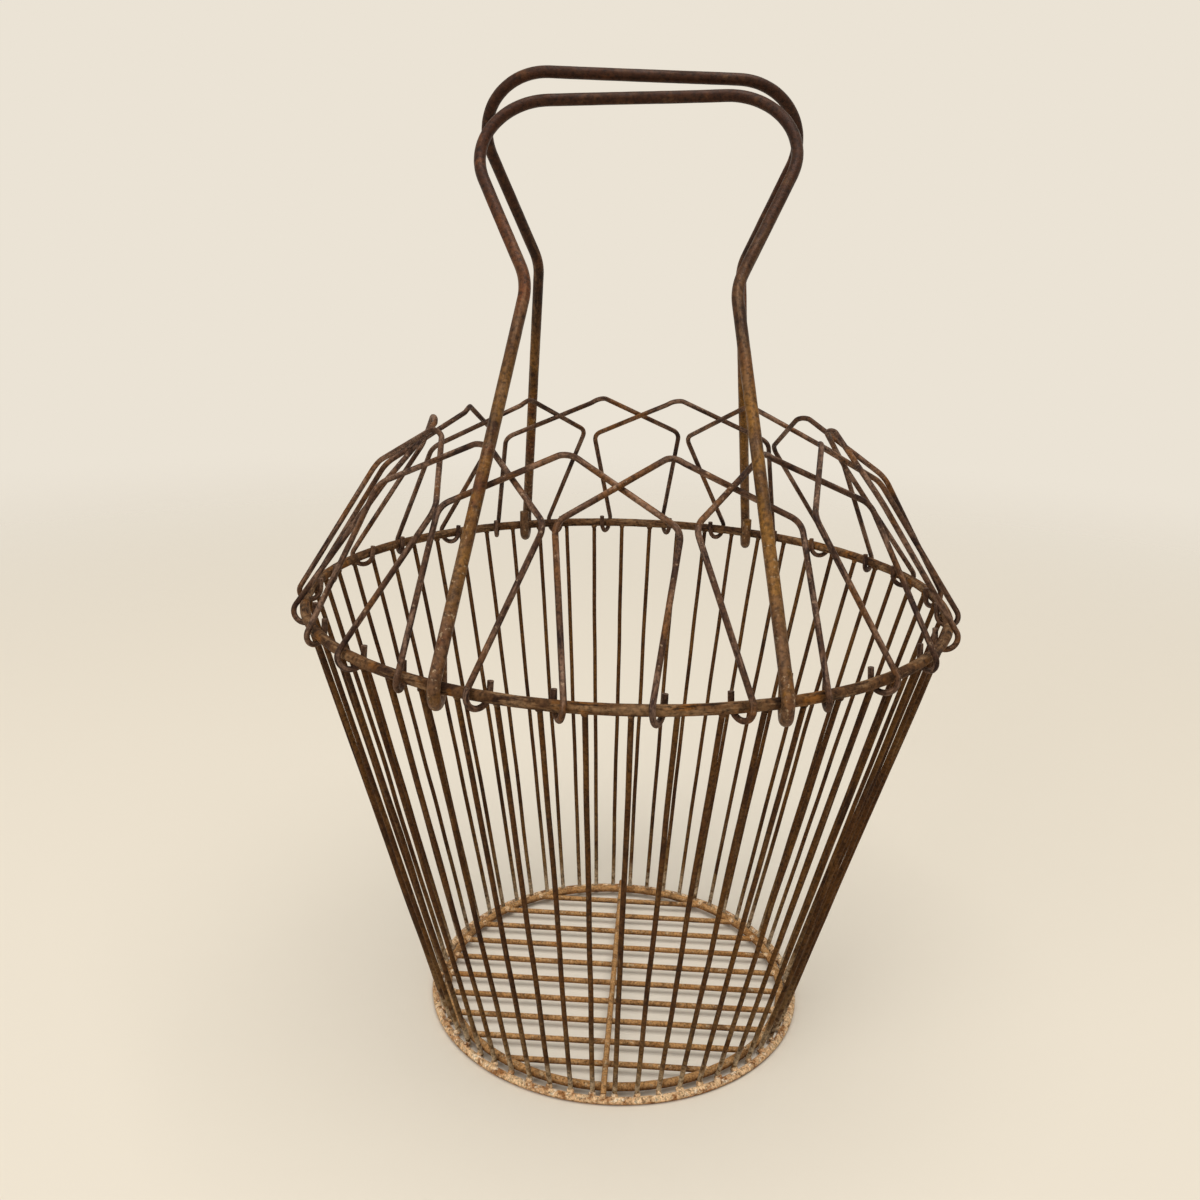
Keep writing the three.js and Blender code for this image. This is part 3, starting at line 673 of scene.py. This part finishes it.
def handle_leans():
    """How far the handles lean in: the front grip just past the middle, the rear one behind it."""
    hinge = RIM_RADIUS * math.cos(HANDLE_HOOK_ANGLE)
    radius = hook_radius(HANDLE_WIRE, HANDLE_HOOK_ANGLE, HANDLE_HOOK_GAP)
    reach = math.hypot(HANDLE_LENGTH, radius)
    front = math.asin((hinge + FRONT_GRIP_SETBACK) / reach) + math.atan2(radius, HANDLE_LENGTH)
    grip_height = HANDLE_LENGTH * math.cos(front) + radius * math.sin(front)
    across = hinge - FRONT_GRIP_SETBACK
    spare = HANDLE_WIRE + GRIP_GAP - radius
    rear = math.acos(spare / math.hypot(across, grip_height)) - math.atan2(grip_height, across)
    return front, rear


def hung(points, angle, hook_angle, lean):
    """A loop's points, hung on the rim at an angle round the basket and leaning in."""
    hinge = RIM_RADIUS * math.cos(hook_angle)
    place = Matrix.Translation((hinge * math.sin(angle), -hinge * math.cos(angle), RIM_HEIGHT))
    turned = place @ Matrix.Rotation(angle, 4, "Z") @ Matrix.Rotation(-lean, 4, "X")
    return [turned @ p for p in points]


# Rim, uprights and bottom
along_path = path_tree()
hoop = hoop_tree()

make_piece("rim_hoop", hoop, {
    "Radius": RIM_RADIUS * MM,
    "Height": RIM_HEIGHT * MM,
    **wire_sizes(RIM_WIRE, rim_steel, sides=20, station=1.2, bow=0.5, scale=0.36),
}, "basket", ["rim_ring"])

upright_top_step = RIM_WIRE / 2 - UPRIGHT_TOP_BITE
make_piece("upright_wires", upright_tree(), {
    "Count": UPRIGHT_COUNT,
    "Foot radius": FOOT_RADIUS * MM,
    "Foot height": BASE_HEIGHT * MM,
    "Top radius": (RIM_RADIUS - upright_top_step * math.sin(WALL_LEAN)) * MM,
    "Top height": (RIM_HEIGHT - upright_top_step * math.cos(WALL_LEAN)) * MM,
    **wire_sizes(UPRIGHT_WIRE, upright_steel, sides=10, station=2.4, bow=1.6, scale=0.10),
}, "basket", UPRIGHT_NODES)

make_piece("base_hoop", hoop, {
    "Radius": BASE_RADIUS * MM,
    "Height": BASE_HEIGHT * MM,
    **wire_sizes(BASE_WIRE, base_steel, sides=18, station=1.2, bow=0.2, scale=0.20, seed=3),
}, "basket", ["base_ring"])

make_piece("floor_hoop", hoop, {
    "Radius": FLOOR_RADIUS * MM,
    "Height": FLOOR_RING_HEIGHT * MM,
    **wire_sizes(FLOOR_RING_WIRE, floor_steel, sides=16, station=1.2, bow=0.3, scale=0.22, seed=5),
}, "basket", ["floor_ring"])

make_piece("floor_rows", floor_tree(), {
    "Count": FLOOR_WIRE_COUNT,
    "Spacing": FLOOR_WIRE_SPACING * MM,
    "Ring radius": FLOOR_RADIUS * MM,
    "Height": FLOOR_WIRE_HEIGHT * MM,
    **wire_sizes(FLOOR_WIRE, floor_steel, sides=12, station=1.6, bow=0.7, scale=0.16, seed=9),
}, "basket", FLOOR_WIRE_NODES)

cross_line = [
    (0.0, -BASE_RADIUS, CROSS_SEAT),
    (0.0, -CROSS_REACH, CROSS_HEIGHT),
    (0.0, CROSS_REACH, CROSS_HEIGHT),
]
cross_sizes = wire_sizes(CROSS_WIRE, floor_steel, sides=12, station=1.4, bow=0.5, scale=0.18, seed=14)
make_piece("cross_bar", along_path, cross_sizes, "basket", ["cross_wire"],
           path_mesh("cross_bar", cross_line))

# Welds
weld_lumps = weld_tree()
upright_angles = [(index + 0.5) * math.tau / UPRIGHT_COUNT for index in range(UPRIGHT_COUNT)]


def at_uprights(radius, height):
    """A point beside every upright."""
    return [(radius * math.sin(a), -radius * math.cos(a), height) for a in upright_angles]


def make_welds(name, points, finish, lump, rough, seed):
    """Weld lumps on these points of the basket."""
    sizes = {"Lump": lump * MM, "Rough": rough * MM, "Seed": seed, "Finish": finish}
    make_piece(name, weld_lumps, sizes, "basket", path=path_mesh(name, points, joined=False))


rim_welds = at_uprights(RIM_RADIUS - RIM_WELD_INSET, RIM_HEIGHT - RIM_WELD_DROP)
make_welds("rim_welds", rim_welds, rim_steel, lump=1.45, rough=0.5, seed=4)

bottom_welds = at_uprights(FOOT_RADIUS + FOOT_WELD_OUTSET, BASE_HEIGHT + FOOT_WELD_RISE)
for index in range(FLOOR_WIRE_COUNT):
    y = (index - (FLOOR_WIRE_COUNT - 1) / 2) * FLOOR_WIRE_SPACING
    x = math.sqrt(FLOOR_RADIUS ** 2 - y ** 2) - ROW_WELD_INSET
    bottom_welds += [
        (-x, y, FLOOR_WIRE_HEIGHT + ROW_WELD_RISE),
        (x, y, FLOOR_WIRE_HEIGHT + ROW_WELD_RISE),
        (0.0, y, FLOOR_WIRE_HEIGHT + CROSSING_WELD_RISE),
    ]
bottom_welds += [
    (0.0, -BASE_RADIUS + CROSS_END_WELD_INSET, BASE_HEIGHT + CROSS_END_WELD_RISE),
    (0.0, FLOOR_RADIUS, FLOOR_RING_HEIGHT + CROSS_END_WELD_RISE),
]
make_welds("bottom_welds", bottom_welds, base_steel, lump=1.6, rough=0.8, seed=7)

# Lid petals and bail handles
FIRST_PETAL_SEED = 20
FRONT_HANDLE_SEED = 41
REAR_HANDLE_SEED = 47
front_lean, rear_lean = handle_leans()
petal_line = petal_points()
for index in range(PETAL_COUNT):
    name = f"petal_{index + 1:02d}"
    angle = (index + 0.5) * PETAL_PITCH
    line = hung(petal_line, angle, PETAL_HOOK_ANGLE, front_lean + PETAL_LEAD)
    sizes = wire_sizes(PETAL_WIRE, petal_steel, sides=12, station=0.9, bow=0.25, scale=0.10,
                       seed=FIRST_PETAL_SEED + index)
    make_piece(f"{name}_wire", along_path, sizes, name, [name], path_mesh(name, line))

for name, neck_half_width, skew, angle, lean, seed in (
        ("front_handle", FRONT_NECK_HALF_WIDTH, FRONT_GRIP_SKEW, 0.0, front_lean, FRONT_HANDLE_SEED),
        ("rear_handle", REAR_NECK_HALF_WIDTH, REAR_GRIP_SKEW, math.pi, rear_lean, REAR_HANDLE_SEED)):
    line = hung(handle_points(neck_half_width, skew), angle, HANDLE_HOOK_ANGLE, lean)
    sizes = wire_sizes(HANDLE_WIRE, handle_steel, sides=22, station=1.3, bow=0.6, scale=0.14, seed=seed)
    make_piece(f"{name}_bail", along_path, sizes, name, [name], path_mesh(name, line))

# Floor, light and camera, in metres and watts
FLOOR_COLOUR = "#e6ddcd"
FLOOR_ROUGHNESS = 0.9
FLOOR_REACH = 3.0
FLOOR_FADE_START = 0.45
FLOOR_FADE_END = 1.5
BACK_COLOUR = "#ebe3d5"
AIR_COLOUR = "#fffdf8"
AIR_STRENGTH = 0.36
LAMP_COLOUR = "#fffdfa"
LAMP_AIM = (0.0, 0.0, 0.2)


def studio_floor():
    """A pale floor that fades out into the background."""
    reach = FLOOR_REACH
    corners = [(-reach, -reach, 0), (reach, -reach, 0), (reach, reach, 0), (-reach, reach, 0)]
    mesh = bpy.data.meshes.new("floor")
    mesh.from_pydata(corners, [], [(0, 1, 2, 3)])
    floor = bpy.data.objects.new("floor", mesh)
    bpy.context.scene.collection.objects.link(floor)
    material = bpy.data.materials.new("matt_pale_floor")
    material.use_nodes = True
    tree = material.node_tree
    tree.nodes.clear()
    place = add(tree, "ShaderNodeTexCoord")
    distance = add(tree, "ShaderNodeVectorMath", {0: place.outputs["Object"]}, operation="LENGTH")
    fade = add(tree, "ShaderNodeMapRange", {
        "Value": distance.outputs["Value"], "From Min": FLOOR_FADE_START, "From Max": FLOOR_FADE_END},
        interpolation_type="SMOOTHSTEP")
    matt = add(tree, "ShaderNodeBsdfPrincipled", {
        "Base Color": linear(FLOOR_COLOUR), "Roughness": FLOOR_ROUGHNESS})
    clear = add(tree, "ShaderNodeBsdfTransparent")
    mixed = add(tree, "ShaderNodeMixShader", {
        0: fade.outputs[0], 1: matt.outputs[0], 2: clear.outputs[0]})
    add(tree, "ShaderNodeOutputMaterial", {"Surface": mixed.outputs[0]})
    mesh.materials.append(material)


def studio_world():
    """Even soft light, with a pale backdrop for the camera and for reflections."""
    world = bpy.data.worlds.new("studio")
    bpy.context.scene.world = world
    world.use_nodes = True
    tree = world.node_tree
    tree.nodes.clear()
    ray = add(tree, "ShaderNodeLightPath")
    seen = add(tree, "ShaderNodeMath", {
        0: ray.outputs["Is Camera Ray"], 1: ray.outputs["Is Glossy Ray"]}, operation="MAXIMUM")
    seen = add(tree, "ShaderNodeMath", {
        0: seen.outputs[0], 1: ray.outputs["Is Transmission Ray"]}, operation="MAXIMUM")
    air = add(tree, "ShaderNodeBackground", {"Color": linear(AIR_COLOUR), "Strength": AIR_STRENGTH})
    backdrop = add(tree, "ShaderNodeBackground", {"Color": linear(BACK_COLOUR), "Strength": 1.0})
    mixed = add(tree, "ShaderNodeMixShader", {
        0: seen.outputs[0], 1: air.outputs[0], 2: backdrop.outputs[0]})
    add(tree, "ShaderNodeOutputWorld", {"Surface": mixed.outputs[0]})


def soft_box(name, place, side, watts):
    """A square lamp that faces the basket."""
    lamp = bpy.data.lights.new(name, "AREA")
    lamp.shape = "SQUARE"
    lamp.size = side
    lamp.energy = watts
    lamp.color = linear(LAMP_COLOUR)[:3]
    holder = bpy.data.objects.new(name, lamp)
    holder.location = place
    holder.rotation_euler = (Vector(LAMP_AIM) - Vector(place)).to_track_quat("-Z", "Y").to_euler()
    bpy.context.scene.collection.objects.link(holder)


def photo_camera():
    """The photograph's camera: place, direction, roll and focal length."""
    cos_pitch, sin_pitch = math.cos(CAMERA_PITCH), math.sin(CAMERA_PITCH)
    cos_yaw, sin_yaw = math.cos(CAMERA_YAW), math.sin(CAMERA_YAW)
    forward = Vector((sin_yaw * cos_pitch, cos_yaw * cos_pitch, -sin_pitch))
    right = Vector((cos_yaw, -sin_yaw, 0.0))
    up = right.cross(forward)
    rolled_right = right * math.cos(CAMERA_ROLL) + up * math.sin(CAMERA_ROLL)
    rolled_up = up * math.cos(CAMERA_ROLL) - right * math.sin(CAMERA_ROLL)
    turn = Matrix((rolled_right, rolled_up, -forward)).transposed().to_4x4()
    place = Matrix.Translation(Vector((0.0, -CAMERA_DISTANCE, CAMERA_HEIGHT)) * MM)
    lens = bpy.data.cameras.new("camera")
    lens.sensor_width = SENSOR
    lens.lens = FOCAL_PIXELS / IMAGE_SIDE * SENSOR
    lens.clip_start = CAMERA_CLIP_START * MM
    camera = bpy.data.objects.new("camera", lens)
    camera.matrix_world = Matrix.Rotation(CAMERA_AZIMUTH, 4, "Z") @ place @ turn
    bpy.context.scene.collection.objects.link(camera)
    bpy.context.scene.camera = camera


studio_floor()
studio_world()
soft_box("overhead", place=(0.3, -0.5, 3.1), side=2.4, watts=69.0)
soft_box("front_left", place=(-1.8, -2.4, 1.9), side=1.8, watts=36.0)
photo_camera()
bpy.context.scene.view_settings.view_transform = "Standard"
